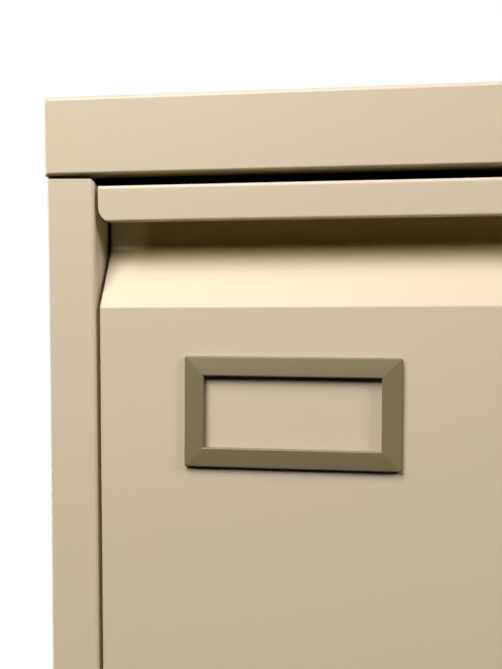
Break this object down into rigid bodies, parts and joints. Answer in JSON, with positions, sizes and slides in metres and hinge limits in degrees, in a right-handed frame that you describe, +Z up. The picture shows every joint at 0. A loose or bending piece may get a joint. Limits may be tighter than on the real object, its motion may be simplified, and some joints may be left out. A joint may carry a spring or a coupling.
{
  "type": "filing cabinet",
  "caption": "Tall steel filing cabinet with flush drawer fronts, full-width recessed finger pulls, framed label windows and a corner lock.",
  "frame": {"origin": "under the middle of the cabinet, on the floor", "axes": "+Z up, -Y towards the user (drawers open along -Y), +X to the user's right"},
  "size_m": [0.47, 0.6246, 1.321],
  "materials": {
    "cream_coat": "satin cream powder coat with a fine orange-peel texture",
    "label_plastic": "satin khaki-brown moulded plastic",
    "zinc_steel": "bright zinc plate",
    "lock_nickel": "bright nickel plate",
    "glide_nylon": "black nylon"
  },
  "bodies": {
    "carcass": {"top_cap": "cream_coat", "left_side_panel": "cream_coat", "right_side_panel": "cream_coat", "back_panel": "cream_coat", "base_pan": "cream_coat", "plinth_rail": "cream_coat", "top_front_rail": "cream_coat", "lock_housing": "lock_nickel", "lock_nut": "zinc_steel", "front_left_upright": "zinc_steel", "front_right_upright": "zinc_steel", "rear_left_upright": "zinc_steel", "rear_right_upright": "zinc_steel", "front_left_glide": "glide_nylon", "front_right_glide": "glide_nylon", "rear_left_glide": "glide_nylon", "rear_right_glide": "glide_nylon", "drawer_1_left_cabinet_rail": "zinc_steel", "drawer_1_right_cabinet_rail": "zinc_steel", "drawer_2_left_cabinet_rail": "zinc_steel", "drawer_2_right_cabinet_rail": "zinc_steel", "drawer_3_left_cabinet_rail": "zinc_steel", "drawer_3_right_cabinet_rail": "zinc_steel", "drawer_4_left_cabinet_rail": "zinc_steel", "drawer_4_right_cabinet_rail": "zinc_steel"},
    "lock": {"lock_barrel": "lock_nickel", "lock_cam": "zinc_steel"},
    "lock_bar": {"locking_bar": "zinc_steel"},
    "drawer_1": {"drawer_1_front": "cream_coat", "drawer_1_inner_front": "cream_coat", "drawer_1_tray": "cream_coat", "drawer_1_label_frame": "label_plastic", "drawer_1_left_drawer_rail": "zinc_steel", "drawer_1_right_drawer_rail": "zinc_steel"},
    "drawer_1_middle_rails": {"drawer_1_left_middle_rail": "zinc_steel", "drawer_1_right_middle_rail": "zinc_steel"},
    "drawer_2": {"drawer_2_front": "cream_coat", "drawer_2_inner_front": "cream_coat", "drawer_2_tray": "cream_coat", "drawer_2_label_frame": "label_plastic", "drawer_2_left_drawer_rail": "zinc_steel", "drawer_2_right_drawer_rail": "zinc_steel"},
    "drawer_2_middle_rails": {"drawer_2_left_middle_rail": "zinc_steel", "drawer_2_right_middle_rail": "zinc_steel"},
    "drawer_3": {"drawer_3_front": "cream_coat", "drawer_3_inner_front": "cream_coat", "drawer_3_tray": "cream_coat", "drawer_3_label_frame": "label_plastic", "drawer_3_left_drawer_rail": "zinc_steel", "drawer_3_right_drawer_rail": "zinc_steel"},
    "drawer_3_middle_rails": {"drawer_3_left_middle_rail": "zinc_steel", "drawer_3_right_middle_rail": "zinc_steel"},
    "drawer_4": {"drawer_4_front": "cream_coat", "drawer_4_inner_front": "cream_coat", "drawer_4_tray": "cream_coat", "drawer_4_label_frame": "label_plastic", "drawer_4_left_drawer_rail": "zinc_steel", "drawer_4_right_drawer_rail": "zinc_steel"},
    "drawer_4_middle_rails": {"drawer_4_left_middle_rail": "zinc_steel", "drawer_4_right_middle_rail": "zinc_steel"}
  },
  "joints": [
    {"name": "drawer_1_slide", "type": "slide", "parent": "carcass", "child": "drawer_1", "axis": [0, -1, 0], "range_m": [0, 0.54]},
    {"name": "drawer_1_middle_slide", "type": "slide", "parent": "carcass", "child": "drawer_1_middle_rails", "axis": [0, -1, 0], "range_m": [0, 0.27]},
    {"name": "drawer_2_slide", "type": "slide", "parent": "carcass", "child": "drawer_2", "axis": [0, -1, 0], "range_m": [0, 0.54]},
    {"name": "drawer_2_middle_slide", "type": "slide", "parent": "carcass", "child": "drawer_2_middle_rails", "axis": [0, -1, 0], "range_m": [0, 0.27]},
    {"name": "drawer_3_slide", "type": "slide", "parent": "carcass", "child": "drawer_3", "axis": [0, -1, 0], "range_m": [0, 0.54]},
    {"name": "drawer_3_middle_slide", "type": "slide", "parent": "carcass", "child": "drawer_3_middle_rails", "axis": [0, -1, 0], "range_m": [0, 0.27]},
    {"name": "drawer_4_slide", "type": "slide", "parent": "carcass", "child": "drawer_4", "axis": [0, -1, 0], "range_m": [0, 0.54]},
    {"name": "drawer_4_middle_slide", "type": "slide", "parent": "carcass", "child": "drawer_4_middle_rails", "axis": [0, -1, 0], "range_m": [0, 0.27]},
    {"name": "lock_turn", "type": "hinge", "parent": "carcass", "child": "lock", "pos_m": [0.2, -0.3097, 1.30265], "axis": [0, -1, 0], "range_deg": [0, 90]},
    {"name": "locking_bar_lift", "type": "slide", "parent": "carcass", "child": "lock_bar", "axis": [0, 0, 1], "range_m": [0, 0.012]}
  ],
  "couplings": [
    {"joint": "drawer_1_middle_slide", "follows": "drawer_1_slide", "ratio": 0.5},
    {"joint": "drawer_2_middle_slide", "follows": "drawer_2_slide", "ratio": 0.5},
    {"joint": "drawer_3_middle_slide", "follows": "drawer_3_slide", "ratio": 0.5},
    {"joint": "drawer_4_middle_slide", "follows": "drawer_4_slide", "ratio": 0.5},
    {"joint": "lock_turn", "follows": "locking_bar_lift", "rad_per_m": 130.9}
  ]
}
